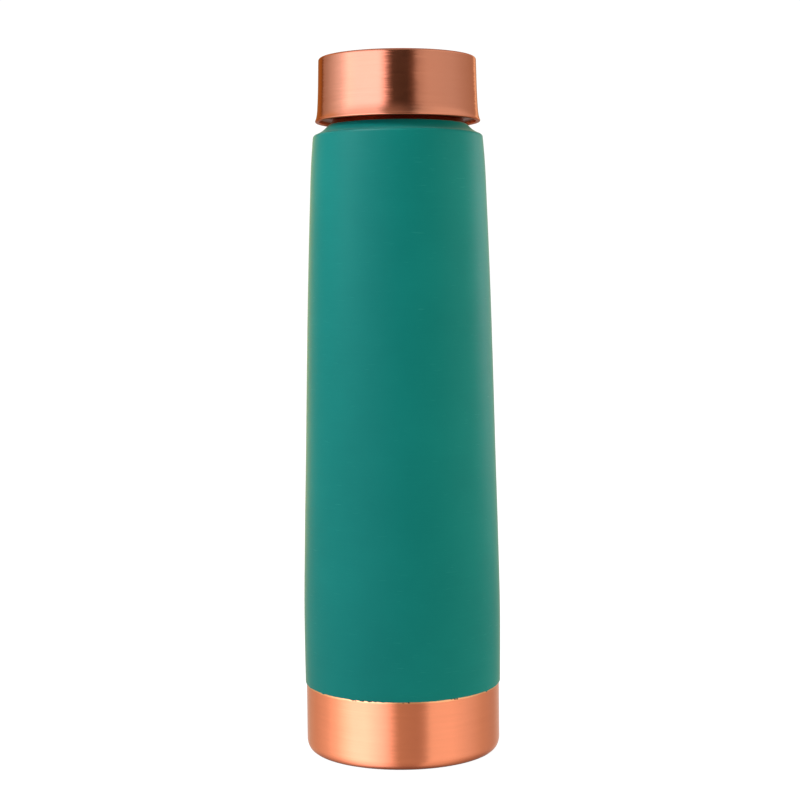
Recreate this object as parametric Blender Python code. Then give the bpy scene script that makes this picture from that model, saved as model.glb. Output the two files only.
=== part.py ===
"""Copper water bottle with a screw cap.

A tapered drawn copper shell with a powder-coated sleeve over most of its
height, a separately pressed base disc, a brazed threaded mouth, and a
two-skin screw cap that holds a silicone gasket.

Frame: metres, +Z up, origin at the centre of the standing ring's underside.
Sizes below are in millimetres and are turned into metres as shapes are made.
"""

import math

import bmesh
import bpy

MM = 0.001
STEPS = 40  # facets round every turned piece, lined up with each other

# Overall
HEIGHT = 275.0
SHEET = 0.55  # copper sheet thickness
COAT_STEP = 0.42  # how far the coat's surface stands proud of the copper
COAT_GAP = 0.10  # air between the coat's solid and the copper's

# Body side: radius of the finished surface at a few heights
BODY_SIDE = (
    (26.6, 39.27),
    (54.0, 39.45),
    (85.0, 38.88),
    (120.0, 37.97),
    (155.0, 37.15),
    (190.0, 36.15),
    (218.0, 35.13),
    (235.0, 34.38),
    (242.0, 33.86),
)
COAT_LOW = 26.6  # lower edge of the coat
COAT_HIGH = 248.7  # upper edge of the coat, on the shoulder's hollow

# Foot
HEEL_OUT = 2.0  # the heel's rounding, measured outwards
HEEL_UP = 4.0  # and upwards
HEEL_CENTRE_R = 36.85
FOOT_INNER_R = 32.0
BAND_LOW_R = 38.85  # bare copper band just above the heel

# Shoulder: a small convex edge, then a hollow sweep up into the neck
EDGE_CENTRE = (32.18, 243.65)
EDGE_RADIUS = 1.5
HOLLOW_RADIUS = 12.0
NECK_R = 25.0
STUB_TOP = 257.2  # where the shell's own neck ends

# Base disc
DISC_GAP = 0.15
DISC_FLANGE_TOP = 8.0
DISC_STEP_R = 29.5
DISC_STEP_Z = 3.2
DISC_CROWN_Z = 4.4

# Threaded mouth
BORE_R = 23.0
MOUTH_SLEEVE_LOW = 254.0
MOUTH_COLLAR_LOW = 257.5
MOUTH_TOP = 270.9
MOUTH_LIP_R = 0.77

# Screw thread, right-handed
PITCH = 4.5
THREAD_CREST_R = 25.7  # on the mouth
CAP_CREST_R = 25.0  # inside the cap
ROOT_HALF = 0.95
CREST_HALF = 0.45
MOUTH_THREAD_Z = 259.4  # ridge centre at +X, first turn
MOUTH_THREAD_TURNS = (0.0, 1.75)
CAP_THREAD_DROP = 1.5  # cap's ridge sits this far below the mouth's
CAP_THREAD_TURNS = (-0.55, 1.75)
RUN_OUT = 0.09  # part of a turn over which a ridge sinks into its wall
BURIED = 0.4  # how deep a ridge's root is set into its wall

# Cap
CAP_LOW = 250.0
CAP_TOP_R = 31.14
CAP_SIDE = (
    (274.0, 31.14),
    (269.0, 31.26),
    (262.0, 31.44),
    (256.5, 31.70),
    (253.8, 31.90),
    (252.0, 32.20),
    (250.6, 32.60),
)
CAP_EDGE_R = 1.0
HEM_INNER_R = 31.0
HEM_TOP = 251.2
LINER_R = 26.2  # inside radius of the threaded liner
LINER_TOP = 274.15
FLANGE_LOW = 251.5
FLANGE_R = 31.2

# Gasket
GASKET_OUTER_R = 25.4
GASKET_INNER_R = 21.2
GASKET_LOW = 271.2
GASKET_TOP = 273.3


def clear_scene():
    for obj in list(bpy.data.objects):
        bpy.data.objects.remove(obj, do_unlink=True)


def principled(name, colour, metallic, roughness):
    material = bpy.data.materials.new(name)
    material.use_nodes = True
    shader = material.node_tree.nodes["Principled BSDF"]
    shader.inputs["Base Color"].default_value = (*colour, 1.0)
    shader.inputs["Metallic"].default_value = metallic
    shader.inputs["Roughness"].default_value = roughness
    material.diffuse_color = (*colour, 1.0)
    return material


def link(name, mesh, material, parent):
    obj = bpy.data.objects.new(name, mesh)
    mesh.materials.append(material)
    bpy.context.scene.collection.objects.link(obj)
    obj.parent = parent
    return obj


def joint_empty(name, parent=None):
    """An empty on the bottle's axis: what is parented to it turns or slides with it."""
    empty = bpy.data.objects.new(name, None)
    empty.empty_display_size = 0.02
    bpy.context.scene.collection.objects.link(empty)
    empty.parent = parent
    return empty


def turned_mesh(name, profile):
    """Spin a profile of (radius, height) points in mm round Z into a closed body.

    The profile is a closed loop, unless it starts and ends on the axis.
    """
    bm = bmesh.new()
    verts = [bm.verts.new((r * MM, 0.0, z * MM)) for r, z in profile]
    edges = [bm.edges.new(pair) for pair in zip(verts, verts[1:])]
    if profile[0][0] > 0:
        edges.append(bm.edges.new((verts[-1], verts[0])))
    bmesh.ops.spin(
        bm,
        geom=verts + edges,
        axis=(0, 0, 1),
        cent=(0, 0, 0),
        angle=math.tau,
        steps=STEPS,
        use_merge=True,
    )
    bmesh.ops.remove_doubles(bm, verts=bm.verts, dist=1e-6)
    bmesh.ops.recalc_face_normals(bm, faces=bm.faces)
    mesh = bpy.data.meshes.new(name)
    bm.to_mesh(mesh)
    bm.free()
    mesh.shade_smooth()
    mesh.set_sharp_from_angle(angle=math.radians(35))
    return mesh


def arc(centre, radius, start, end, pieces):
    """Points on a circle in the (radius, height) plane, angles in degrees from +R."""
    points = []
    for i in range(pieces + 1):
        a = math.radians(start + (end - start) * i / pieces)
        points.append(
            (centre[0] + radius * math.cos(a), centre[1] + radius * math.sin(a))
        )
    return points


def hollow_centre():
    """Centre of the shoulder's hollow: tangent to the edge round and to the neck."""
    r = NECK_R + HOLLOW_RADIUS
    reach = EDGE_RADIUS + HOLLOW_RADIUS
    dr = r - EDGE_CENTRE[0]
    return r, EDGE_CENTRE[1] + math.sqrt(reach * reach - dr * dr)


def shoulder(inset, bare):
    """Edge round, then the hollow up to the coat's edge and, if bare, up to the neck."""
    centre = hollow_centre()
    tangent = math.degrees(
        math.atan2(centre[1] - EDGE_CENTRE[1], centre[0] - EDGE_CENTRE[0])
    )
    coat_end = 180.0 + math.degrees(math.asin((centre[1] - COAT_HIGH) / HOLLOW_RADIUS))
    points = arc(EDGE_CENTRE, EDGE_RADIUS - inset, 4.6, tangent, 2)
    sweep = HOLLOW_RADIUS + inset
    points += arc(centre, sweep, 180.0 + tangent, coat_end, 3)[1:]
    if bare:
        points += arc(centre, sweep, coat_end, 180.0, 2)[1:]
    return points


def side(inset):
    return [(r - inset, z) for z, r in BODY_SIDE]


def heel(inset, start, end, pieces):
    """The heel's quarter round, taller than it is wide, set in by a thickness."""
    points = []
    for r, z in arc((0.0, 0.0), 1.0, start, end, pieces):
        points.append(
            (HEEL_CENTRE_R + (HEEL_OUT - inset) * r, HEEL_UP + (HEEL_UP - inset) * z)
        )
    return points


def shell_profile():
    """The drawn copper shell: foot, heel, side, shoulder and plain neck stub."""
    thick = COAT_STEP + SHEET
    outer = [(FOOT_INNER_R, 0.0)]
    outer += heel(0.0, -90, 0, 5)
    outer += side(COAT_STEP)
    outer += shoulder(COAT_STEP, True)
    outer += [(NECK_R - COAT_STEP, STUB_TOP)]
    inner = [(FOOT_INNER_R, SHEET)]
    inner += heel(SHEET, -90, 0, 5)
    inner += side(thick)
    inner += shoulder(thick, True)
    inner += [(NECK_R - thick, STUB_TOP)]
    return outer + inner[::-1]


def coat_profile():
    """The powder coat: a thin sleeve on the shell from above the band to the neck."""
    outer = side(0.0) + shoulder(0.0, False)
    inset = COAT_STEP - COAT_GAP
    inner = side(inset) + shoulder(inset, False)
    return outer + inner[::-1]


def disc_profile():
    """The pressed base: a flange up the wall, a flat seat, a step and a low crown."""
    inset = SHEET + DISC_GAP
    low = inset
    wall = HEEL_CENTRE_R + HEEL_OUT - inset
    under = [(0.0, DISC_CROWN_Z), (DISC_STEP_R * 0.5, DISC_CROWN_Z - 0.3)]
    under += [(DISC_STEP_R, DISC_STEP_Z), (DISC_STEP_R + 3.3, low)]
    under += heel(inset, -90, 0, 4)
    under += [(wall, DISC_FLANGE_TOP)]
    above = [(wall - SHEET, DISC_FLANGE_TOP)]
    above += heel(inset + SHEET, 0, -90, 4)
    above += [(DISC_STEP_R + 3.1, low + SHEET), (DISC_STEP_R - 0.2, DISC_STEP_Z + SHEET)]
    above += [(DISC_STEP_R * 0.5, DISC_CROWN_Z - 0.3 + SHEET)]
    above += [(0.0, DISC_CROWN_Z + SHEET)]
    return under + above


def mouth_profile():
    """The mouth: a sleeve inside the stub, a collar on top of it, and a round lip."""
    sleeve = NECK_R - COAT_STEP - SHEET - 0.1
    collar = NECK_R - COAT_STEP
    lip = MOUTH_TOP - MOUTH_LIP_R
    points = [(BORE_R, MOUTH_SLEEVE_LOW), (sleeve, MOUTH_SLEEVE_LOW)]
    points += [(sleeve, MOUTH_COLLAR_LOW), (collar, MOUTH_COLLAR_LOW)]
    points += arc((collar - MOUTH_LIP_R, lip), MOUTH_LIP_R, 0, 90, 3)
    points += arc((BORE_R + MOUTH_LIP_R, lip), MOUTH_LIP_R, 90, 180, 3)
    return points


def cap_shell_profile():
    """The cap's outer skin: flat top, near-straight side, flared and hemmed foot."""
    top_edge = (CAP_TOP_R - CAP_EDGE_R, HEIGHT - CAP_EDGE_R)
    outer = [(0.0, HEIGHT)] + arc(top_edge, CAP_EDGE_R, 90, 0, 3)
    outer += [(r, z) for z, r in CAP_SIDE[1:]]
    outer += [(CAP_SIDE[-1][1] + 0.12, CAP_LOW + 0.2), (CAP_SIDE[-1][1], CAP_LOW)]
    hem = [(HEM_INNER_R + 0.2, CAP_LOW), (HEM_INNER_R, CAP_LOW + 0.3)]
    hem += [(HEM_INNER_R, HEM_TOP), (CAP_SIDE[-2][1] - SHEET, HEM_TOP)]
    inner = [(r - SHEET, z) for z, r in CAP_SIDE[-2:0:-1]]
    inner += [(CAP_TOP_R - SHEET, HEIGHT - SHEET), (0.0, HEIGHT - SHEET)]
    return outer + hem + inner


def cap_liner_profile():
    """The cap's inner skin: a deep cup whose foot turns out into a flange."""
    wall = LINER_R + SHEET
    under = LINER_TOP - SHEET
    flange = FLANGE_LOW + SHEET
    points = [(0.0, LINER_TOP)] + arc((wall - 1.4, LINER_TOP - 1.4), 1.4, 90, 0, 3)
    points += [(wall, flange + 0.8), (wall + 0.8, flange), (FLANGE_R, flange)]
    points += [(FLANGE_R, FLANGE_LOW), (LINER_R + 0.5, FLANGE_LOW)]
    points += [(LINER_R, FLANGE_LOW + 0.5)]
    points += arc((LINER_R - 0.6, under - 0.6), 0.6, 0, 90, 2) + [(0.0, under)]
    return points


def gasket_profile():
    """A flat silicone ring with a low sealing bead under its middle."""
    middle = (GASKET_INNER_R + GASKET_OUTER_R) / 2
    seat = GASKET_LOW + 0.35
    return [
        (GASKET_INNER_R, seat),
        (middle - 0.9, seat),
        (middle, GASKET_LOW),
        (middle + 0.9, seat),
        (GASKET_OUTER_R, seat),
        (GASKET_OUTER_R, GASKET_TOP),
        (GASKET_INNER_R, GASKET_TOP),
    ]


def ridge(name, root_r, crest_r, start_z, turns):
    """A helical ridge whose ends sink into the wall at root_r."""
    outward = 1.0 if crest_r > root_r else -1.0
    depth = abs(crest_r - root_r)
    count = round((turns[1] - turns[0]) * STEPS)
    bm = bmesh.new()
    rings = []
    for i in range(count + 1):
        turn = turns[0] + i / STEPS
        angle = math.tau * turn
        z = start_z + PITCH * turn
        near_end = min(turn - turns[0], turns[1] - turn) / RUN_OUT
        rise = -0.3 + (depth + 0.3) * min(1.0, near_end)
        crest = root_r + outward * rise
        buried = root_r - outward * BURIED
        flank = CREST_HALF + (ROOT_HALF - CREST_HALF) * (depth - rise) / depth
        base = ROOT_HALF + (ROOT_HALF - CREST_HALF) * BURIED / depth
        corners = (
            (buried, z - base),
            (crest, z - flank),
            (crest, z + flank),
            (buried, z + base),
        )
        rings.append(
            [
                bm.verts.new(
                    (r * MM * math.cos(angle), r * MM * math.sin(angle), h * MM)
                )
                for r, h in corners
            ]
        )
    for a, b in zip(rings, rings[1:]):
        for k in range(4):
            n = (k + 1) % 4
            bm.faces.new((a[k], a[n], b[n], b[k]))
    bm.faces.new(rings[0])
    bm.faces.new(rings[-1][::-1])
    bmesh.ops.recalc_face_normals(bm, faces=bm.faces)
    mesh = bpy.data.meshes.new(name)
    bm.to_mesh(mesh)
    bm.free()
    obj = bpy.data.objects.new(name, mesh)
    bpy.context.scene.collection.objects.link(obj)
    obj.hide_render = True
    obj.display_type = "WIRE"
    return obj


def join_ridge(obj, helper):
    helper.parent = obj.parent
    union = obj.modifiers.new("thread", "BOOLEAN")
    union.operation = "UNION"
    union.solver = "EXACT"
    union.object = helper


def main():
    clear_scene()
    scene = bpy.context.scene
    scene.unit_settings.system = "METRIC"
    scene.unit_settings.scale_length = 1.0

    copper = principled("copper_band", (0.76, 0.36, 0.20), 1.0, 0.30)
    bare = principled("copper_inside", (0.74, 0.35, 0.20), 1.0, 0.38)
    base_copper = principled("copper_base", (0.72, 0.34, 0.19), 1.0, 0.36)
    mouth_copper = principled("copper_mouth", (0.78, 0.38, 0.22), 1.0, 0.26)
    cap_copper = principled("copper_cap", (0.74, 0.34, 0.20), 1.0, 0.28)
    coat = principled("green_powder_coat", (0.012, 0.19, 0.155), 0.0, 0.46)
    silicone = principled("silicone", (0.80, 0.79, 0.75), 0.0, 0.55)

    bottle = joint_empty("bottle_frame")
    seal = joint_empty("cap_lift_axis", bottle)
    cap = joint_empty("cap_turn_axis", seal)

    link("body_shell", turned_mesh("body_shell", shell_profile()), copper, bottle)
    link("paint_coat", turned_mesh("paint_coat", coat_profile()), coat, bottle)
    link("base_disc", turned_mesh("base_disc", disc_profile()), base_copper, bottle)
    mouth = link(
        "threaded_mouth",
        turned_mesh("threaded_mouth", mouth_profile()),
        mouth_copper,
        bottle,
    )
    join_ridge(
        mouth,
        ridge(
            "mouth_thread",
            NECK_R - COAT_STEP,
            THREAD_CREST_R,
            MOUTH_THREAD_Z,
            MOUTH_THREAD_TURNS,
        ),
    )

    link("seal_gasket", turned_mesh("seal_gasket", gasket_profile()), silicone, seal)

    link(
        "cap_outer_shell",
        turned_mesh("cap_outer_shell", cap_shell_profile()),
        cap_copper,
        cap,
    )
    liner = link(
        "cap_threaded_liner",
        turned_mesh("cap_threaded_liner", cap_liner_profile()),
        bare,
        cap,
    )
    join_ridge(
        liner,
        ridge(
            "liner_thread",
            LINER_R,
            CAP_CREST_R,
            MOUTH_THREAD_Z - CAP_THREAD_DROP,
            CAP_THREAD_TURNS,
        ),
    )


main()
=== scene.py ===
"""Looks of the copper water bottle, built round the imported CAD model.

Every visible CAD node is replaced by a fine turned surface on the same sizes,
with rolled lips, smooth rolled threads, a hemmed skirt and a powder coat whose
masked edge is slightly uneven. Profiles are in millimetres, as radius and
height, and become metres when a mesh is made.
"""

import math

import bpy
import numpy as np
from mathutils import Matrix, Vector


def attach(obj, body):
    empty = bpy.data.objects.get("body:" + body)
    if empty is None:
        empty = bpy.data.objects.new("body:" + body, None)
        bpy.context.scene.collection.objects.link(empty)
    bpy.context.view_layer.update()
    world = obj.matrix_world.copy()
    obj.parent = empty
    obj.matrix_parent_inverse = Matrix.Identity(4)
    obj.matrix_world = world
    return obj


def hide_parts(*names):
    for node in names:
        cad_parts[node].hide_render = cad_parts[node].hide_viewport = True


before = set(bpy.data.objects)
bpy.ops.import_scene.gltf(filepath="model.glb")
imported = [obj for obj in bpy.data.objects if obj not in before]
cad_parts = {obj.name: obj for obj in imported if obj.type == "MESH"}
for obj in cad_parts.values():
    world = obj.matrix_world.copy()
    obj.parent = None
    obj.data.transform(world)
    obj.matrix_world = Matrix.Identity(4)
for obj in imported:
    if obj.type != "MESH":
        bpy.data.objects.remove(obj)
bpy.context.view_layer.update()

MM = 0.001
TAU = math.tau

# ---------------------------------------------------------------- dimensions
HEIGHT = 275.0
SHEET = 0.55
COAT = 0.42
BODY_SIDE = (
    (26.6, 39.27),
    (40.0, 39.40),
    (54.0, 39.45),
    (85.0, 38.88),
    (120.0, 37.97),
    (155.0, 37.15),
    (190.0, 36.15),
    (218.0, 35.13),
    (235.0, 34.38),
    (243.77, 33.675),
)
COAT_LOW = 26.6
COAT_HIGH = 248.7
HEEL_OUT, HEEL_UP, HEEL_C = 2.0, 4.0, 36.85
FOOT_IN = 32.0
EDGE_C, EDGE_R = (32.18, 243.65), 1.5
HOLLOW_R, NECK_R = 12.0, 25.0
STUB_TOP = 257.2
BORE = 23.0
MOUTH_TOP = 270.9
PITCH = 4.5
THREAD_Z = 259.4
CAP_LOW = 250.0
LINER_R = 26.2
LINER_TOP = 274.15


# ------------------------------------------------------------------- helpers
def curve_through(stations):
    """A smooth radius against height through a few stations, as a function."""
    z = np.array([s[0] for s in stations], float)
    r = np.array([s[1] for s in stations], float)
    h, d = np.diff(z), np.diff(r) / np.diff(z)
    slope = np.empty(len(z))
    slope[1:-1] = (d[:-1] * h[1:] + d[1:] * h[:-1]) / (h[:-1] + h[1:])
    slope[0] = d[0] + (d[0] - slope[1]) * 0.5
    slope[-1] = d[-1] + (d[-1] - slope[-2]) * 0.5

    def at(x):
        x = np.clip(np.asarray(x, float), z[0], z[-1])
        k = np.clip(np.searchsorted(z, x) - 1, 0, len(h) - 1)
        t = (x - z[k]) / h[k]
        return (
            (2 * t**3 - 3 * t**2 + 1) * r[k]
            + (t**3 - 2 * t**2 + t) * h[k] * slope[k]
            + (-2 * t**3 + 3 * t**2) * r[k + 1]
            + (t**3 - t**2) * h[k] * slope[k + 1]
        )

    return at


body_radius = curve_through(BODY_SIDE)


def arc(centre, radius, start, end, pieces):
    a = np.radians(np.linspace(start, end, pieces + 1))
    return [
        (centre[0] + radius * math.cos(t), centre[1] + radius * math.sin(t)) for t in a
    ]


def heel(inset, start, end, pieces):
    """The heel's quarter round, taller than it is wide."""
    return [
        (HEEL_C + (HEEL_OUT - inset) * r, HEEL_UP + (HEEL_UP - inset) * z)
        for r, z in arc((0.0, 0.0), 1.0, start, end, pieces)
    ]


def rounded(points, radii, pieces=4):
    """A polyline of (radius, height) points with its inner corners rounded off."""
    out = [tuple(points[0])]
    for i in range(1, len(points) - 1):
        p, a, b = (np.array(points[k], float) for k in (i, i - 1, i + 1))
        size = radii[i] if isinstance(radii, (list, tuple)) else radii
        u, v = a - p, b - p
        lu, lv = np.linalg.norm(u), np.linalg.norm(v)
        if size <= 0 or lu < 1e-9 or lv < 1e-9:
            out.append(tuple(p))
            continue
        u, v = u / lu, v / lv
        half = math.acos(max(-1.0, min(1.0, float(u @ v)))) / 2
        if half > math.radians(88):
            out.append(tuple(p))
            continue
        reach = min(size / math.tan(half), lu * 0.49, lv * 0.49)
        real = reach * math.tan(half)
        bis = (u + v) / np.linalg.norm(u + v)
        c = p + bis * (real / math.sin(half))
        s, e = p + u * reach - c, p + v * reach - c
        a0, a1 = math.atan2(s[1], s[0]), math.atan2(e[1], e[0])
        turn = (a1 - a0 + math.pi) % TAU - math.pi
        for k in range(pieces + 1):
            t = a0 + turn * k / pieces
            out.append((c[0] + real * math.cos(t), c[1] + real * math.sin(t)))
    out.append(tuple(points[-1]))
    return out


def mesh_object(name, verts, faces, material, smooth_angle=40):
    mesh = bpy.data.meshes.new(name)
    mesh.from_pydata(verts, [], faces)
    mesh.validate()
    mesh.update()
    mesh.shade_smooth()
    mesh.set_sharp_from_angle(angle=math.radians(smooth_angle))
    obj = bpy.data.objects.new(name, mesh)
    bpy.context.scene.collection.objects.link(obj)
    obj.data.materials.append(material)
    return obj


def turned(name, profile, material, segments=192, shift=None, smooth_angle=40):
    """A closed body turned round Z from (radius, height) points in mm.

    The profile runs so that the outside is on its left when it goes up. Its
    ends may lie on the axis. shift(k, angle, r, z) may move each point.
    """
    profile = [(float(r), float(z)) for r, z in profile]
    on_axis = profile[0][0] < 1e-6
    count = len(profile)
    verts, rows = [], []
    for k, (r, z) in enumerate(profile):
        if r < 1e-6:
            rows.append([len(verts)] * segments)
            verts.append((0.0, 0.0, z * MM))
            continue
        row = []
        for s in range(segments):
            a = TAU * s / segments
            rr, zz = (r, z) if shift is None else shift(k, a, r, z)
            row.append(len(verts))
            verts.append((rr * MM * math.cos(a), rr * MM * math.sin(a), zz * MM))
        rows.append(row)
    faces = []
    last = count - 1 if on_axis else count
    for k in range(last):
        a, b = rows[k], rows[(k + 1) % count]
        for s in range(segments):
            n = (s + 1) % segments
            quad = [a[s], a[n], b[n], b[s]]
            face = [v for i, v in enumerate(quad) if v != quad[i - 1]]
            if len(face) >= 3:
                faces.append(face)
    obj = mesh_object(name, verts, faces, material, smooth_angle)
    volume = signed_volume(obj.data)
    if volume < 0:
        obj.data.flip_normals()
    return obj


def signed_volume(mesh):
    mesh.calc_loop_triangles()
    co = np.empty(len(mesh.vertices) * 3)
    mesh.vertices.foreach_get("co", co)
    tri = np.empty(len(mesh.loop_triangles) * 3, np.int32)
    mesh.loop_triangles.foreach_get("vertices", tri)
    p = co.reshape(-1, 3)[tri.reshape(-1, 3)]
    return float(np.einsum("ij,ij->i", p[:, 0], np.cross(p[:, 1], p[:, 2])).sum())


def resample(points, step):
    """Adds points along long straight runs of a profile."""
    out = [points[0]]
    for a, b in zip(points, points[1:]):
        n = max(1, math.ceil(math.dist(a, b) / step))
        out += [
            (a[0] + (b[0] - a[0]) * i / n, a[1] + (b[1] - a[1]) * i / n)
            for i in range(1, n + 1)
        ]
    return out


# ----------------------------------------------------------------- materials
class Nodes:
    """A short way to write a node tree."""

    def __init__(self, name):
        self.material = bpy.data.materials.new(name)
        self.material.use_nodes = True
        self.tree = self.material.node_tree
        self.shader = self.tree.nodes["Principled BSDF"]

    def new(self, kind, **values):
        node = self.tree.nodes.new(kind)
        for key, value in values.items():
            setattr(node, key, value)
        return node

    def wire(self, source, target):
        self.tree.links.new(source, target)

    def put(self, socket, value):
        if hasattr(value, "is_output") or isinstance(value, bpy.types.NodeSocket):
            self.wire(value, socket)
        else:
            socket.default_value = value

    def math(self, operation, a, b=None, c=None, clamp=False):
        node = self.new("ShaderNodeMath", operation=operation, use_clamp=clamp)
        for socket, value in zip(node.inputs, (a, b, c)):
            if value is not None:
                self.put(socket, value)
        return node.outputs[0]

    def coords(self):
        return self.new("ShaderNodeTexCoord").outputs["Object"]

    def split(self, vector):
        node = self.new("ShaderNodeSeparateXYZ")
        self.wire(vector, node.inputs[0])
        return node.outputs

    def join(self, x, y, z):
        node = self.new("ShaderNodeCombineXYZ")
        for socket, value in zip(node.inputs, (x, y, z)):
            self.put(socket, value)
        return node.outputs[0]

    def noise(self, vector, scale, detail=2.0, roughness=0.5, distortion=0.0):
        node = self.new("ShaderNodeTexNoise")
        self.wire(vector, node.inputs["Vector"])
        node.inputs["Scale"].default_value = scale
        node.inputs["Detail"].default_value = detail
        node.inputs["Roughness"].default_value = roughness
        node.inputs["Distortion"].default_value = distortion
        return node.outputs["Fac"]

    def ramp(self, value, stops):
        node = self.new("ShaderNodeValToRGB")
        self.wire(value, node.inputs[0])
        items = node.color_ramp.elements
        while len(items) < len(stops):
            items.new(0.5)
        for item, (at, colour) in zip(items, stops):
            item.position = at
            item.color = (*colour, 1.0) if len(colour) == 3 else colour
        return node.outputs[0]

    def span(self, value, low, high, to_low=0.0, to_high=1.0, smooth=False):
        node = self.new("ShaderNodeMapRange")
        if smooth:
            node.interpolation_type = "SMOOTHSTEP"
        self.put(node.inputs["Value"], value)
        for key, v in zip(
            ("From Min", "From Max", "To Min", "To Max"), (low, high, to_low, to_high)
        ):
            node.inputs[key].default_value = v
        return node.outputs[0]

    def blend(self, factor, a, b, kind="MIX"):
        node = self.new("ShaderNodeMix", data_type="RGBA", blend_type=kind)
        self.put(node.inputs[0], factor)
        for socket, value in ((node.inputs[6], a), (node.inputs[7], b)):
            self.put(socket, (*value, 1.0) if isinstance(value, tuple) else value)
        return node.outputs[2]

    def bump(self, height, distance, strength=1.0, normal=None):
        node = self.new("ShaderNodeBump")
        self.wire(height, node.inputs["Height"])
        node.inputs["Distance"].default_value = distance
        node.inputs["Strength"].default_value = strength
        if normal is not None:
            self.wire(normal, node.inputs["Normal"])
        return node.outputs[0]

    def set(self, **values):
        for key, value in values.items():
            self.put(self.shader.inputs[key.replace("_", " ")], value)
        return self.material


def brushed_copper(
    name,
    colour,
    rough,
    aniso,
    lines=1.0,
    patina=0.25,
    glance=(1.0, 1.0, 1.0),
    painted_highlight_line=None,
    edge=None,
    underside_shade_amount=0.9,
    fray=0.20,
):
    """Copper brushed round the axis: lines of constant height on a wall and of
    constant radius on a flat, in colour, roughness and relief."""
    n = Nodes(name)
    x, y, z = n.split(n.coords())
    radius = n.math("SQRT", n.math("ADD", n.math("MULTIPLY", x, x), n.math("MULTIPLY", y, y)))
    level = n.math("ADD", z, radius)

    def streaks(round_axis, along, detail):
        v = n.join(
            n.math("MULTIPLY", x, round_axis),
            n.math("MULTIPLY", y, round_axis),
            n.math("MULTIPLY", level, along),
        )
        return n.noise(v, 1.0, detail, 0.6)

    fine = streaks(28.0, 9000.0, 2.0)
    mid = streaks(45.0, 2600.0, 3.0)
    broad = streaks(9.0, 520.0, 2.0)
    dashes = streaks(160.0, 3800.0, 1.0)
    cloud = n.noise(n.coords(), 38.0, 4.0, 0.55)
    blotch = n.noise(n.coords(), 11.0, 2.0, 0.5)

    mix = n.math(
        "ADD",
        n.math("MULTIPLY", fine, 0.45),
        n.math("ADD", n.math("MULTIPLY", mid, 0.35), n.math("MULTIPLY", broad, 0.20)),
    )
    light = tuple(min(1.0, c * 1.025) for c in colour)
    dark = (colour[0] * 0.96, colour[1] * 0.92, colour[2] * 0.90)
    tone = n.blend(n.span(mix, 0.34, 0.66), dark, light)
    warm = (colour[0] * 0.93, colour[1] * 0.84, colour[2] * 0.70)
    tone = n.blend(n.span(cloud, 0.42, 0.78, 0.0, patina), tone, warm)
    pink = (min(1.0, colour[0] * 1.02), colour[1] * 1.02, colour[2] * 1.12)
    tone = n.blend(n.span(blotch, 0.4, 0.7, 0.0, 0.35), tone, pink)
    bright_dash = n.span(dashes, 0.68, 0.76, 0.0, 0.12)
    tone = n.blend(bright_dash, tone, tuple(min(1.0, c * 1.10) for c in colour))
    # painted shade or painted dark reflection: a ring of heights above an inner radius is blended to a darker
    # tone, mottled by noise
    if edge is not None:
        low, high, shade, inner = edge
        ring = n.math("MULTIPLY", n.span(z, low, high), n.span(radius, inner, inner + 0.0005))
        ring_mottle = n.span(n.noise(n.coords(), 300.0, 2.0), 0.25, 0.6, 0.55, 1.0)
        tone = n.blend(n.math("MULTIPLY", ring, ring_mottle), tone, shade)
    # painted shade under things: faces turned downwards are darkened to a brown tone, and they are made
    # rougher too
    facing = n.split(n.new("ShaderNodeNewGeometry").outputs["Normal"])[2]
    underside_shade_and_dullness = n.span(facing, -0.65, -0.20, underside_shade_amount, 0.0)
    painted_underside_shade = (colour[0] * 0.36, colour[1] * 0.27, colour[2] * 0.25)
    tone = n.blend(underside_shade_and_dullness, tone, painted_underside_shade)
    # painted highlight: a thin bright band of colour at a band of heights, with a wavy edge
    if painted_highlight_line is not None:
        low, high, tint = painted_highlight_line
        wobble = n.noise(n.coords(), 260.0, 2.0)
        height = n.math("ADD", z, n.math("MULTIPLY", n.math("SUBTRACT", wobble, 0.5), 0.0009))
        near = n.math(
            "MULTIPLY",
            n.span(height, low, low + 0.00035),
            n.span(height, high, high + 0.0004, 1.0, 0.0),
        )
        tone = n.blend(n.math("MULTIPLY", near, 0.75), tone, tint)

    r = n.span(mix, 0.30, 0.70, rough + 0.035 * lines, rough - 0.03 * lines)
    r = n.math("ADD", r, n.span(dashes, 0.60, 0.74, 0.0, 0.03))
    r = n.math("ADD", r, n.span(cloud, 0.35, 0.75, -0.01, 0.03))
    r = n.math("ADD", r, n.math("MULTIPLY", underside_shade_and_dullness, 0.22))
    tangent = n.new("ShaderNodeTangent", direction_type="RADIAL", axis="Z")
    n.wire(tangent.outputs[0], n.shader.inputs["Tangent"])
    relief = n.math("ADD", n.math("MULTIPLY", fine, 0.5), n.math("MULTIPLY", mid, 0.6))
    # each brush line leans a little to one side, so reflections fray along it
    lean = n.math("ADD", n.math("MULTIPLY", dashes, 0.6), n.math("MULTIPLY", mid, 0.4))
    lean = n.math("MULTIPLY", n.math("SUBTRACT", lean, 0.5), fray)
    push = n.new("ShaderNodeVectorMath", operation="SCALE")
    n.wire(tangent.outputs[0], push.inputs[0])
    n.wire(lean, push.inputs["Scale"])
    tilted = n.new("ShaderNodeVectorMath", operation="ADD")
    n.wire(n.new("ShaderNodeNewGeometry").outputs["Normal"], tilted.inputs[0])
    n.wire(push.outputs[0], tilted.inputs[1])
    unit = n.new("ShaderNodeVectorMath", operation="NORMALIZE")
    n.wire(tilted.outputs[0], unit.inputs[0])
    normal = n.bump(relief, 0.000006 * lines, 0.5, unit.outputs[0])
    n.shader.inputs["Specular Tint"].default_value = (*glance, 1.0)
    n.shader.inputs["Anisotropic"].default_value = aniso
    n.shader.inputs["Anisotropic Rotation"].default_value = 0.25
    n.shader.inputs["Metallic"].default_value = 1.0
    return n.set(Base_Color=tone, Roughness=r, Normal=normal)


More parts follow.
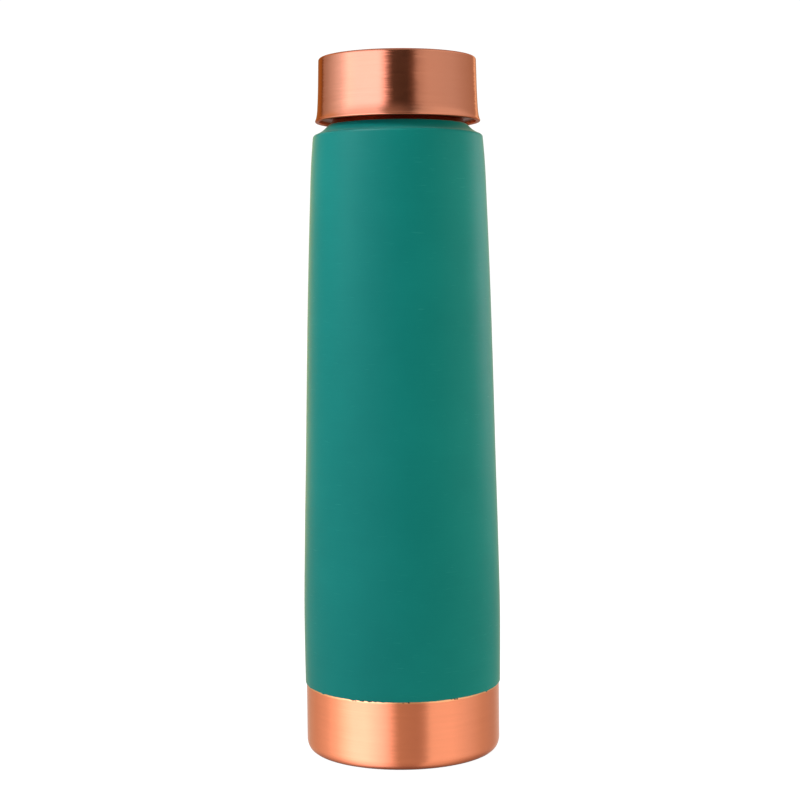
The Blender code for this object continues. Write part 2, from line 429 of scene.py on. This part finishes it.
def powder_coat(name, depth=1.0):
    """Matte green powder coat: a fine even texture, slight clouding, short faint brush
    lines of the metal showing through, and painted shade in spots along its masked edge."""
    n = Nodes(name)
    at = n.coords()
    x, y, z = n.split(at)
    cloud = n.noise(at, 26.0, 4.0, 0.55)
    grain = n.noise(at, 2600.0, 2.0, 0.5)
    peel = n.noise(at, 900.0, 2.0, 0.5)
    dash_at = n.join(
        n.math("MULTIPLY", x, 190.0),
        n.math("MULTIPLY", y, 190.0),
        n.math("MULTIPLY", z, 3000.0),
    )
    dashes = n.noise(dash_at, 1.0, 1.0, 0.5)
    line_at = n.join(
        n.math("MULTIPLY", x, 24.0),
        n.math("MULTIPLY", y, 24.0),
        n.math("MULTIPLY", z, 1500.0),
    )
    lines = n.noise(line_at, 1.0, 3.0, 0.6)

    base = (0.0024, 0.150, 0.120)
    deep = (0.0016, 0.136, 0.109)
    pale = (0.0050, 0.167, 0.136)
    tone = n.blend(n.span(cloud, 0.35, 0.68), deep, base)
    tone = n.blend(n.span(lines, 0.50, 0.75, 0.0, 0.15), tone, pale)
    tone = n.blend(n.span(grain, 0.5, 0.9, 0.0, 0.30), tone, pale)
    tone = n.blend(n.span(dashes, 0.71, 0.79, 0.0, 0.35), tone, (0.022, 0.22, 0.185))
    # painted shade: dark spots along the thin lip of the masked edge
    lip = n.span(z, 0.02655, 0.02700, 1.0, 0.0)
    painted_shade_spots = n.span(n.noise(at, 620.0, 2.0, 0.6), 0.50, 0.60, 0.0, 1.0)
    tone = n.blend(n.math("MULTIPLY", lip, painted_shade_spots), tone, (0.004, 0.045, 0.040))
    # a depth below one darkens the whole coat: painted shade, used for the flecks
    if depth != 1.0:
        tone = n.blend(1.0, tone, (depth, depth, depth), "MULTIPLY")
    rough = n.span(grain, 0.3, 0.7, 0.43, 0.52)
    rough = n.math("ADD", rough, n.span(dashes, 0.68, 0.78, 0.0, -0.10))
    height = n.math(
        "ADD",
        n.math("MULTIPLY", peel, 0.6),
        n.math("ADD", n.math("MULTIPLY", grain, 0.25), n.math("MULTIPLY", lines, 0.15)),
    )
    normal = n.bump(height, 0.00004, 0.40)
    n.shader.inputs["Metallic"].default_value = 0.0
    n.shader.inputs["IOR"].default_value = 1.5
    n.shader.inputs["Specular IOR Level"].default_value = 0.07
    n.shader.inputs["Sheen Weight"].default_value = 0.40
    n.shader.inputs["Sheen Roughness"].default_value = 0.23
    n.shader.inputs["Sheen Tint"].default_value = (1.0, 0.95, 0.55, 1.0)
    return n.set(Base_Color=tone, Roughness=rough, Normal=normal)


def silicone(name):
    n = Nodes(name)
    at = n.coords()
    cloud = n.noise(at, 60.0, 3.0)
    grain = n.noise(at, 3000.0, 2.0)
    tone = n.blend(n.span(cloud, 0.3, 0.7), (0.70, 0.68, 0.63), (0.80, 0.79, 0.75))
    rough = n.span(grain, 0.3, 0.7, 0.44, 0.58)
    n.shader.inputs["Subsurface Weight"].default_value = 0.15
    n.shader.inputs["Subsurface Scale"].default_value = 0.002
    return n.set(Base_Color=tone, Roughness=rough, Normal=n.bump(grain, 0.00003, 0.4))


def braze(name):
    n = Nodes(name)
    at = n.coords()
    cloud = n.noise(at, 420.0, 3.0)
    tone = n.blend(n.span(cloud, 0.3, 0.7), (0.56, 0.36, 0.24), (0.80, 0.62, 0.46))
    n.shader.inputs["Metallic"].default_value = 1.0
    rough = n.span(cloud, 0.3, 0.7, 0.28, 0.42)
    return n.set(Base_Color=tone, Roughness=rough, Normal=n.bump(cloud, 0.0001, 0.6))


COPPER_BAND = (0.93, 0.335, 0.175)
COPPER_CAP = (0.90, 0.345, 0.200)
band_copper = brushed_copper(
    "copper_band",
    COPPER_BAND,
    0.20,
    0.72,
    0.5,
    # painted highlight: a thin bright line just below the coat's lower edge
    painted_highlight_line=(0.0258, 0.0264, (1.0, 0.60, 0.30)),
    # painted shade on the bare neck between the coat and the cap
    edge=(0.2482, 0.2490, (0.50, 0.17, 0.09), 0.0),
    # the band's downward faces get about half as much painted shade
    underside_shade_amount=0.5,
    fray=0.08,
)
cap_copper = brushed_copper(
    "copper_cap",
    COPPER_CAP,
    0.185,
    0.80,
    glance=(1.0, 0.62, 0.50),
    # painted dark reflection round the rim of the cap's top
    edge=(0.27435, 0.27480, (0.40, 0.13, 0.07), 0.0303),
    fray=0.14,
)
base_copper = brushed_copper("copper_base", (0.86, 0.33, 0.19), 0.33, 0.6, 1.4, 0.5)
mouth_copper = brushed_copper("copper_mouth", (0.92, 0.37, 0.22), 0.22, 0.5, 0.8, 0.2)
liner_copper = brushed_copper("copper_liner", (0.88, 0.35, 0.20), 0.30, 0.5, 0.9, 0.4)
green = powder_coat("green_powder_coat")
# the flecks' paint is darkened to 12 %: painted shade
fleck_green = powder_coat("green_flecks", 0.12)
white_silicone = silicone("silicone")
braze_metal = braze("braze_metal")


# -------------------------------------------------------------- bottle shell
HOLLOW_CR = NECK_R + HOLLOW_R
HOLLOW_CZ = EDGE_C[1] + math.sqrt((EDGE_R + HOLLOW_R) ** 2 - (HOLLOW_CR - EDGE_C[0]) ** 2)
EDGE_TO = math.degrees(math.atan2(HOLLOW_CZ - EDGE_C[1], HOLLOW_CR - EDGE_C[0]))
COAT_END = 180.0 + math.degrees(math.asin((HOLLOW_CZ - COAT_HIGH) / HOLLOW_R))


def side(inset, low=26.6, step=3.0):
    z = np.linspace(low, BODY_SIDE[-1][0], max(2, int((BODY_SIDE[-1][0] - low) / step)))
    return [(float(body_radius(h)) - inset, float(h)) for h in z]


def shoulder(inset, end, pieces):
    round_edge = arc(EDGE_C, EDGE_R - inset, 4.6, EDGE_TO, 8)
    hollow = arc((HOLLOW_CR, HOLLOW_CZ), HOLLOW_R + inset, 180.0 + EDGE_TO, end, pieces)
    return round_edge[1:] + hollow[1:]


def body_shell():
    outer = [(FOOT_IN + 0.25, 0.0), (33.4, 0.0)] + heel(0.0, -90, 0, 18)
    outer += [(38.85, z) for z in np.linspace(6.0, 24.0, 7)]
    outer += side(COAT) + shoulder(COAT, 180.0, 16)
    outer += rounded(
        [outer[-1], (NECK_R - COAT, STUB_TOP), (NECK_R - COAT - SHEET, STUB_TOP)],
        0.2,
    )[1:]
    thick = COAT + SHEET
    back = shoulder(thick, 180.0, 16)[::-1] + side(thick, step=8.0)[::-1]
    back += [(38.30, 24.0), (38.30, 6.0)]
    back += heel(SHEET, 0, -90, 10)
    back += rounded([(33.4, SHEET), (FOOT_IN, SHEET), (FOOT_IN, 0.0), (FOOT_IN + 0.25, 0.0)], 0.22)
    return turned("bottle_shell", outer + back[:-1], band_copper, 192)


shell = body_shell()
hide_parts("body_shell")
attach(shell, "bottle")


# --------------------------------------------------------------- powder coat
rng = np.random.default_rng(11)
EDGE_WAVES = [
    (int(k), float(a), float(p))
    for k, a, p in zip(
        rng.integers(3, 190, 46), rng.uniform(0.25, 1.0, 46), rng.uniform(0, TAU, 46)
    )
]
EDGE_CHIPS = [
    (float(a), float(w), float(d))
    for a, w, d in zip(
        rng.uniform(0, TAU, 42), rng.uniform(0.006, 0.022, 42), rng.uniform(-0.30, 0.22, 42)
    )
]


def uneven(angle, size):
    """The masked edge's height error at an angle, in mm."""
    wave = sum(a * math.sin(k * angle + p) / (1 + k / 40) for k, a, p in EDGE_WAVES)
    chips = 0.0
    for at, width, depth in EDGE_CHIPS:
        gap = (angle - at + math.pi) % TAU - math.pi
        chips += depth * math.exp(-((gap / width) ** 2))
    return size * wave * 0.022 + chips * size


def powder_sleeve():
    low, high = COAT_LOW, COAT_END
    outer = side(0.0) + shoulder(0.0, high, 12)
    inner = side(COAT + 0.05, step=10.0) + shoulder(COAT + 0.05, high, 12)
    # rounded lower edge, from the copper out to the face
    edge = [(float(body_radius(low)) - COAT - 0.05, low + 0.16)]
    edge += [(r, z) for r, z in arc((39.27 - 0.20, low + 0.20), 0.20, -110, -8, 6)]
    outer = [p for p in outer if p[1] > low + 0.3]
    # rounded upper edge
    c = np.array([HOLLOW_CR, HOLLOW_CZ])
    t = math.radians(high)
    n_out = np.array([-math.cos(t), -math.sin(t)])
    along = np.array([-math.sin(t), math.cos(t)]) * -1.0
    tip = np.array(outer[-1])
    top = [
        tuple(tip + along * 0.16 - n_out * 0.06),
        tuple(tip + along * 0.24 - n_out * 0.18),
        tuple(tip + along * 0.22 - n_out * 0.34),
        tuple(tip + along * 0.10 - n_out * (COAT + 0.05)),
    ]
    ragged = len(edge) + 3
    profile = edge + outer + top + inner[::-1][:-1]
    tail = len(profile)
    first_top = len(edge) + len(outer) - 3

    def shift(k, a, r, z):
        if k < ragged:
            fade = 1.0 if k < len(edge) else 1.0 - (k - len(edge) + 1) / 4
            return r, z + uneven(a, 1.0) * fade
        if first_top <= k < first_top + 8 and k < tail:
            d = uneven(a * 1.0 + 2.0, 0.45) * (0.5 if k < first_top + 2 else 1.0)
            return r + d * 0.75, z - d * 0.6
        return r, z

    return turned("powder_coat", profile, green, 576, shift)


coat = powder_sleeve()
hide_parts("paint_coat")
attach(coat, "bottle")


def paint_flecks():
    """Specks of paint that crept under the mask, just below the coat's edge."""
    r = np.random.default_rng(23)
    clusters = [(-122, -103, 13), (-62, -56, 5), (-90, -86, 2), (0, 360, 22)]
    verts, faces = [], []
    for start, stop, count in clusters:
        for a in np.radians(r.uniform(start, stop, count)):
            z = COAT_LOW + uneven(a % TAU, 1.0) - r.uniform(-0.12, 0.38)
            half_w, half_h = r.uniform(0.18, 0.62), r.uniform(0.10, 0.24)
            thick = r.uniform(0.05, 0.10)
            lean = r.uniform(-0.25, 0.25)
            copper = float(body_radius(COAT_LOW)) - COAT
            sides = 14
            wobble = r.uniform(0.72, 1.12, sides)
            rings = []
            for scale, out in ((1.0, -0.12), (1.0, thick * 0.35), (0.72, thick * 0.85)):
                ring = []
                for k in range(sides):
                    t = TAU * k / sides
                    u = half_w * scale * wobble[k] * math.cos(t)
                    v = half_h * scale * wobble[k] * math.sin(t) + lean * u
                    angle = a + u / copper
                    rad = copper + out
                    ring.append(len(verts))
                    verts.append(
                        (rad * MM * math.cos(angle), rad * MM * math.sin(angle), (z + v) * MM)
                    )
                rings.append(ring)
            for p, q in zip(rings, rings[1:]):
                for k in range(sides):
                    m = (k + 1) % sides
                    faces.append((p[k], p[m], q[m], q[k]))
            crown = len(verts)
            rad = (copper + thick) * MM
            verts.append((rad * math.cos(a), rad * math.sin(a), z * MM))
            faces += [(rings[2][k], rings[2][(k + 1) % sides], crown) for k in range(sides)]
            faces.append(tuple(rings[0][::-1]))
    obj = mesh_object("paint_flecks", verts, faces, fleck_green, 60)
    if signed_volume(obj.data) < 0:
        obj.data.flip_normals()
    return obj


flecks = paint_flecks()
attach(flecks, "bottle")


# ----------------------------------------------------------------- base disc
def base_disc():
    inset = SHEET + 0.04
    low = inset
    steps = [
        (0.0, 4.30),
        (6.5, 4.25),
        (8.0, 4.05),
        (9.5, 4.20),
        (20.0, 3.80),
        (27.0, 3.35),
        (29.8, 3.0),
        (32.2, low + 0.05),
        (35.2, low),
    ]
    under = rounded(steps, [0, 4, 2, 4, 20, 8, 1.2, 1.0, 0], 6)
    under += heel(inset, -86, 0, 10)
    wall = HEEL_C + HEEL_OUT - inset
    rim = rounded([(wall, 6.0), (wall, 8.0), (wall - SHEET, 8.0), (wall - SHEET, 6.0)], 0.2)
    above = heel(inset + SHEET, 0, -86, 8)
    top = rounded([(r, z + SHEET) for r, z in steps], [0, 4, 2, 4, 20, 8, 1.2, 1.0, 0], 6)
    profile = resample(under, 2.5) + rim + above + resample(top[::-1], 2.5)
    return turned("base_plate", profile, base_copper, 192)


base = base_disc()
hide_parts("base_disc")
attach(base, "bottle")

seam = turned(
    "base_braze_seam",
    [
        (FOOT_IN + 0.9, SHEET - 0.02),
        (FOOT_IN + 0.05, SHEET - 0.02),
        (FOOT_IN + 0.02, SHEET + 0.02),
        (FOOT_IN + 0.15, SHEET + 0.16),
        (FOOT_IN + 0.35, SHEET + 0.34),
        (FOOT_IN + 0.9, SHEET + 0.30),
    ],
    braze_metal,
    160,
)
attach(seam, "bottle")


# -------------------------------------------------------------------- thread
def threaded_wall(z_low, z_high, root, depth, start_z, turns, half, run_out, rows_per_mm, segments):
    """Rows of (radius) offsets for a wall with a smooth rolled helical ridge.

    Returns heights and a function giving the ridge's height over the root.
    """
    count = int((z_high - z_low) * rows_per_mm)
    heights = np.linspace(z_low, z_high, count + 1)

    def rise(angle, z):
        best = 0.0
        k0 = math.floor(turns[0]) - 1
        k1 = math.ceil(turns[1]) + 1
        for k in range(k0, k1 + 1):
            turn = angle / TAU + k
            if turn < turns[0] or turn > turns[1]:
                continue
            d = abs(z - (start_z + PITCH * turn)) / half
            if d >= 1.0:
                continue
            fade = min(1.0, min(turn - turns[0], turns[1] - turn) / run_out)
            fade = fade * fade * (3 - 2 * fade)
            shape = 0.5 + 0.5 * math.cos(math.pi * d)
            shape = min(1.0, shape * 1.25)
            best = max(best, depth * fade * shape)
        return best

    return heights, rise


def mouth():
    collar = NECK_R - COAT
    lip_r = (collar - BORE) / 2
    heights, rise = threaded_wall(
        257.9, 268.6, collar, 1.10, THREAD_Z, (0.0, 1.75), 1.12, 0.10, 6.0, 256
    )
    sleeve = collar - SHEET - 0.05
    start = [(BORE, 254.2), (BORE + 0.2, 254.0), (sleeve - 0.15, 254.0), (sleeve, 254.2)]
    start += [(sleeve, 257.0), (sleeve, 257.22), (collar - 0.12, 257.22), (collar, 257.36), (collar, 257.6)]
    wall = [(collar, float(h)) for h in heights]
    lip = [(collar, 269.2)]
    lip += arc((collar - lip_r, MOUTH_TOP - lip_r), lip_r, 0, 180, 16)
    lip += [(BORE, z) for z in np.linspace(268.0, 256.0, 5)]
    first = len(start)
    last = first + len(wall)

    def shift(k, a, r, z):
        if first <= k < last:
            return r + rise(a, z), z
        return r, z

    return turned("threaded_mouth_ring", start + wall + lip, mouth_copper, 256, shift, 60)


mouth_ring = mouth()
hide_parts("threaded_mouth")
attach(mouth_ring, "bottle")

neck_seam = turned(
    "neck_braze_seam",
    [
        (24.30, 256.85),
        (24.60, 256.85),
        (24.72, 256.98),
        (24.78, 257.16),
        (24.74, 257.36),
        (24.62, 257.50),
        (24.30, 257.50),
    ],
    braze_metal,
    192,
    lambda k, a, r, z: (r + (0.03 * math.sin(9 * a) + 0.02 * math.sin(23 * a + 1)) * (1 < k < 6), z),
)
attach(neck_seam, "bottle")


# -------------------------------------------------------------------- gasket
def gasket():
    low, top, a, b = 271.15, 273.45, 21.2, 25.4
    mid = (a + b) / 2
    lower = [
        (a, low + 1.2),
        (a, low + 0.35),
        (mid - 1.2, low + 0.35),
        (mid - 0.5, low),
        (mid + 0.5, low),
        (mid + 1.2, low + 0.35),
        (b, low + 0.35),
        (b, low + 1.2),
    ]
    upper = [(b, low + 1.2), (b, top), (a, top), (a, low + 1.2)]
    profile = rounded(lower, [0, 0.3, 0.25, 0.35, 0.35, 0.25, 0.3, 0])[:-1]
    profile += rounded(upper, [0, 0.35, 0.35, 0])[:-1]
    return turned("silicone_gasket", profile, white_silicone, 160)


ring = gasket()
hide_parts("seal_gasket")
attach(ring, "seal")


# ----------------------------------------------------------------------- cap
CAP_SIDE = curve_through(
    (
        (250.5, 32.66),
        (251.2, 32.42),
        (252.2, 32.15),
        (253.8, 31.90),
        (256.5, 31.70),
        (262.0, 31.44),
        (269.0, 31.26),
        (274.0, 31.14),
    )
)


def cap_shell():
    top_r = 31.14
    crown = [(0.0, HEIGHT), (8.0, HEIGHT), (16.0, HEIGHT), (24.0, HEIGHT), (28.5, HEIGHT)]
    crown += arc((top_r - 0.95, HEIGHT - 0.95), 0.95, 90, 0, 10)
    walls = [(float(CAP_SIDE(z)), float(z)) for z in np.linspace(273.4, 250.9, 30)]
    # rolled hem: out round the foot, in under it and up behind the wall
    hem = arc((32.18, 250.50), 0.50, 15, -90, 8)
    hem += arc((31.50, 250.50), 0.50, -90, -180, 8)
    hem += [(31.0, 251.0)] + arc((31.14, 251.22), 0.14, 180, 70, 3)
    inner = [(float(CAP_SIDE(z)) - SHEET, float(z)) for z in np.linspace(251.5, 273.0, 14)]
    inner += arc((top_r - SHEET - 0.5, HEIGHT - SHEET - 0.5), 0.5, 0, 90, 5)
    inner += [(20.0, HEIGHT - SHEET), (0.0, HEIGHT - SHEET)]
    return turned("cap_outer", crown + walls + hem + inner, cap_copper, 256)


cap = cap_shell()
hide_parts("cap_outer_shell")
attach(cap, "cap")


def cap_liner():
    wall = LINER_R + SHEET
    top = LINER_TOP
    under = top - SHEET
    outside = [(0.0, top), (20.0, top)] + arc((wall - 1.4, top - 1.4), 1.4, 90, 0, 6)
    outside += [(wall, z) for z in (268.0, 262.0, 257.0)]
    flange = rounded(
        [(wall, 254.0), (wall, 252.05), (31.25, 252.05), (31.25, 251.5), (LINER_R, 251.5), (LINER_R, 254.0)],
        [0, 0.8, 0.2, 0.2, 1.1, 0],
        6,
    )
    heights, rise = threaded_wall(
        254.0, 268.4, LINER_R, 1.18, THREAD_Z - 1.5, (-0.55, 1.75), 1.12, 0.10, 5.0, 256
    )
    wall_in = [(LINER_R, float(h)) for h in heights]
    roof = [(LINER_R, 270.0)] + arc((LINER_R - 0.8, under - 0.8), 0.8, 0, 90, 6)
    roof += [(20.0, under), (10.0, under), (0.0, under)]
    first = len(outside) + len(flange) - 1
    last = first + len(wall_in)

    def shift(k, a, r, z):
        if first <= k < last:
            return r - rise(a, z), z
        return r, z

    profile = outside + flange[:-1] + wall_in + roof
    return turned("cap_liner", profile, liner_copper, 256, shift, 60)


liner = cap_liner()
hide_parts("cap_threaded_liner")
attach(liner, "cap")


# --------------------------------------------------------------------- stage
def floor():
    n = 96
    verts = [(0.0, 0.0, 0.0)]
    faces = []
    radii = (0.08, 0.3, 1.2, 6.0)
    for r in radii:
        verts += [(r * math.cos(TAU * i / n), r * math.sin(TAU * i / n), 0.0) for i in range(n)]
    for i in range(n):
        j = (i + 1) % n
        faces.append((0, 1 + i, 1 + j))
        for k in range(len(radii) - 1):
            a, b = 1 + k * n, 1 + (k + 1) * n
            faces.append((a + i, b + i, b + j, a + j))
    nodes = Nodes("pale_floor")
    nodes.shader.inputs["Base Color"].default_value = (0.22, 0.22, 0.22, 1)
    nodes.shader.inputs["Roughness"].default_value = 0.9
    nodes.shader.inputs["Emission Color"].default_value = (1, 1, 1, 1)
    nodes.shader.inputs["Emission Strength"].default_value = 0.93
    obj = mesh_object("pale_floor", verts, faces, nodes.material)
    obj.location.z = -0.0003
    obj.visible_glossy = False
    return obj


floor()


def painted_contact_shadow():
    """A dark disc on the floor right under the bottle: a painted shadow where no light reaches."""
    n = 96
    verts = [(0.0, 0.0, 0.0)]
    verts += [(0.0371 * math.cos(TAU * i / n), 0.0371 * math.sin(TAU * i / n), 0.0) for i in range(n)]
    nodes = Nodes("contact_shade")
    nodes.shader.inputs["Base Color"].default_value = (0.05, 0.035, 0.03, 1)
    nodes.shader.inputs["Roughness"].default_value = 0.9
    obj = mesh_object("contact_shade", verts, [(0, 1 + i, 1 + (i + 1) % n) for i in range(n)], nodes.material)
    obj.location.z = -0.0001
    return obj


painted_contact_shadow()


def studio():
    """A soft studio, as brightness against the compass angle round the bottle
    (0 towards -Y, minus to the left) at five heights: a broad softbox left of
    the camera, brighter higher up, a dimmer one right of it, an unlit gap
    between them, white walls behind and an even ceiling."""
    world = bpy.data.worlds.new("studio")
    bpy.context.scene.world = world
    world.use_nodes = True
    tree = world.node_tree
    tree.nodes.clear()
    new, wire = tree.nodes.new, tree.links.new

    coords = new("ShaderNodeTexCoord")
    split = new("ShaderNodeSeparateXYZ")
    wire(coords.outputs["Generated"], split.inputs[0])

    def calc(op, a, b=None):
        node = new("ShaderNodeMath")
        node.operation = op
        for socket, value in zip(node.inputs, (a, b)):
            if value is None:
                continue
            if isinstance(value, (int, float)):
                socket.default_value = value
            else:
                wire(value, socket)
        return node.outputs[0]

    x, y, z = split.outputs
    angle = calc("ARCTAN2", x, calc("MULTIPLY", y, -1.0))
    turn = calc("ADD", calc("DIVIDE", angle, TAU), 0.5)

    def strip(stops):
        ramp = new("ShaderNodeValToRGB")
        ramp.color_ramp.interpolation = "LINEAR"
        items = ramp.color_ramp.elements
        while len(items) < len(stops):
            items.new(0.5)
        for item, (degrees, value) in zip(items, stops):
            item.position = degrees / 360.0 + 0.5
            v = value if isinstance(value, tuple) else (value,) * 3
            item.color = (*[c / PEAK for c in v], 1.0)
        wire(turn, ramp.inputs[0])
        scaled = new("ShaderNodeMix")
        scaled.data_type = "RGBA"
        scaled.blend_type = "MULTIPLY"
        scaled.inputs[0].default_value = 1.0
        wire(ramp.outputs[0], scaled.inputs[6])
        scaled.inputs[7].default_value = (PEAK, PEAK, PEAK, 1)
        return scaled.outputs[2]

    def stack(low, high, below, above):
        """One height band over another, blending between two heights."""
        rise = new("ShaderNodeMapRange")
        rise.interpolation_type = "SMOOTHSTEP"
        rise.inputs["From Min"].default_value = low
        rise.inputs["From Max"].default_value = high
        wire(z, rise.inputs["Value"])
        mix = new("ShaderNodeMix")
        mix.data_type = "RGBA"
        wire(rise.outputs[0], mix.inputs[0])
        for socket, value in ((mix.inputs[6], below), (mix.inputs[7], above)):
            if isinstance(value, tuple):
                socket.default_value = (*value, 1.0)
            else:
                wire(value, socket)
        return mix.outputs[2]

    room = stack(-0.96, -0.84, DOWN, strip(DEEP))
    room = stack(-0.62, -0.38, room, strip(LOWER))
    room = stack(-0.17, 0.02, room, strip(UPPER))
    room = stack(0.26, 0.40, room, strip(HIGH))
    room = stack(0.74, 0.90, room, CEILING)

    lit = new("ShaderNodeBackground")
    wire(room, lit.inputs["Color"])
    white = new("ShaderNodeBackground")
    white.inputs["Color"].default_value = (1.0, 1.0, 1.0, 1)
    white.inputs["Strength"].default_value = 1.05
    path = new("ShaderNodeLightPath")
    pick = new("ShaderNodeMixShader")
    wire(path.outputs["Is Camera Ray"], pick.inputs[0])
    wire(lit.outputs[0], pick.inputs[1])
    wire(white.outputs[0], pick.inputs[2])
    out = new("ShaderNodeOutputWorld")
    wire(pick.outputs[0], out.inputs[0])


PEAK = 6.0
DOWN = (0.30, 0.22, 0.22)
CEILING = (0.62, 0.62, 0.62)
UPPER = (
    (-180, (0.42, 0.32, 0.14)),
    (-144, (0.35, 0.22, 0.055)),
    (-138, (0.15, 0.10, 0.04)),
    (-133, (0.42, 0.42, 0.42)),
    (-122, (0.46, 0.50, 0.53)),
    (-104, (0.72, 0.79, 0.88)),
    (-88, (1.04, 1.18, 1.40)),
    (-74, (1.90, 1.95, 2.35)),
    (-60, (2.00, 1.88, 2.42)),
    (-26, (2.00, 1.95, 2.52)),
    (-20, (1.70, 1.50, 1.76)),
    (-12, (0.24, 0.16, 0.14)),
    (-7, (0.018, 0.012, 0.008)),
    (14, (0.018, 0.012, 0.008)),
    (22, (0.12, 0.075, 0.05)),
    (30, (0.50, 0.47, 0.46)),
    (44, (0.62, 0.62, 0.62)),
    (84, (0.58, 0.58, 0.58)),
    (110, (0.50, 0.48, 0.46)),
    (138, (0.43, 0.43, 0.41)),
    (147, (0.42, 0.43, 0.41)),
    (151, (0.95, 1.05, 0.85)),
    (157, (0.95, 1.05, 0.85)),
    (164, (0.46, 0.36, 0.18)),
    (180, (0.42, 0.32, 0.14)),
)
LOWER = (
    (-180, (0.70, 0.64, 0.68)),
    (-164, (0.68, 0.58, 0.50)),
    (-150, (0.63, 0.51, 0.38)),
    (-126, (0.71, 0.57, 0.45)),
    (-104, (0.92, 0.80, 0.72)),
    (-86, (1.35, 1.22, 1.18)),
    (-72, (1.9, 1.85, 1.95)),
    (-62, (2.3, 2.2, 2.50)),
    (-46, (2.3, 2.25, 2.55)),
    (-34, (1.9, 1.88, 2.12)),
    (-18, (1.50, 1.28, 1.38)),
    (-13, (1.05, 0.92, 0.90)),
    (-6, (0.60, 0.50, 0.42)),
    (19, (0.54, 0.44, 0.38)),
    (26, (0.66, 0.57, 0.52)),
    (32, (1.13, 1.04, 1.00)),
    (60, (1.15, 1.05, 1.00)),
    (84, (0.90, 0.83, 0.80)),
    (108, (0.66, 0.57, 0.49)),
    (134, (0.56, 0.45, 0.37)),
    (158, (0.68, 0.57, 0.47)),
    (170, (0.70, 0.64, 0.66)),
)
DEEP = (
    (-180, (0.40, 0.30, 0.28)),
    (-130, (0.55, 0.42, 0.34)),
    (-96, (0.98, 0.84, 0.78)),
    (-72, (1.60, 1.50, 1.58)),
    (-60, (1.90, 1.76, 1.95)),
    (-34, (1.65, 1.55, 1.70)),
    (-13, (0.85, 0.68, 0.64)),
    (-6, (0.50, 0.40, 0.34)),
    (19, (0.46, 0.36, 0.30)),
    (32, (0.90, 0.78, 0.70)),
    (60, (0.88, 0.76, 0.68)),
    (84, (0.66, 0.54, 0.46)),
    (120, (0.42, 0.32, 0.26)),
    (180, (0.40, 0.30, 0.28)),
)
HIGH = (
    (-180, (0.62, 0.52, 0.36)),
    (-114, (0.66, 0.54, 0.38)),
    (-96, (0.90, 0.88, 0.95)),
    (-84, (1.15, 1.15, 1.35)),
    (-32, (1.15, 1.15, 1.35)),
    (-16, (0.3, 0.25, 0.22)),
    (20, (0.12, 0.10, 0.09)),
    (38, 0.60),
    (60, 0.75),
    (100, 0.75),
    (130, 0.60),
    (180, 0.60),
)


studio()



def fill(name, place, size, watts, colour=(1.0, 1.0, 1.0)):
    """A soft panel that lights the matte coat and isn't mirrored in the copper."""
    data = bpy.data.lights.new(name, "AREA")
    data.shape = "RECTANGLE"
    data.size, data.size_y = size
    data.energy = watts
    data.color = colour
    obj = bpy.data.objects.new(name, data)
    bpy.context.scene.collection.objects.link(obj)
    obj.location = place
    aim = Vector((0, 0, 0.14)) - obj.location
    obj.rotation_euler = aim.to_track_quat("-Z", "Y").to_euler()
    obj.visible_glossy = False
    obj.visible_camera = False
    return obj


def coat_only(panel, diffuse=False):
    """Makes a panel light the powder coat alone: its highlights only, or its
    colour too, and then past the cap's skirt."""
    only = bpy.data.collections.new(panel.name + "_on")
    only.objects.link(coat)
    panel.light_linking.receiver_collection = only
    if diffuse:
        panel.light_linking.blocker_collection = only
    panel.visible_glossy = True
    panel.visible_diffuse = diffuse


fill("right_panel", (1.25, -0.38, 0.42), (0.6, 0.9), 10.2, (1.0, 0.98, 0.90))
fill("high_left_panel", (-0.36, -0.15, 0.48), (0.16, 0.16), 1.30, (0.88, 1.0, 1.12))
coat_only(fill("shoulder_glint", (-0.25, -0.13, 0.80), (0.16, 0.16), 7.0))
coat_only(fill("left_glint", (-0.46, -0.19, 0.36), (0.14, 0.20), 0.7))
coat_only(fill("back_right_panel", (0.80, 0.56, 0.28), (0.5, 0.5), 3.0), True)
coat_only(fill("back_left_panel", (-0.40, 0.69, 0.20), (0.4, 0.5), 1.1, (1.0, 0.72, 0.10)), True)
coat_only(fill("broad_left_panel", (-0.62, -0.40, 0.66), (0.5, 0.5), 1.6, (0.92, 0.98, 1.12)), True)

bpy.context.scene.view_settings.view_transform = "Standard"
bpy.context.scene.view_settings.look = "None"

# -------------------------------------------------------------------- camera
cam_data = bpy.data.cameras.new("camera")
cam = bpy.data.objects.new("camera", cam_data)
bpy.context.scene.collection.objects.link(cam)
cam_data.sensor_width = 36.0
cam_data.lens = 76.05
cam_data.clip_start, cam_data.clip_end = 0.05, 50.0
PITCH_DOWN, ROLL = 3.916, 0.54
cam.matrix_world = (
    Matrix.Translation((-0.0001, -0.6753, 0.18606))
    @ Matrix.Rotation(math.radians(90 - PITCH_DOWN), 4, "X")
    @ Matrix.Rotation(math.radians(-ROLL), 4, "Z")
)
bpy.context.scene.camera = cam
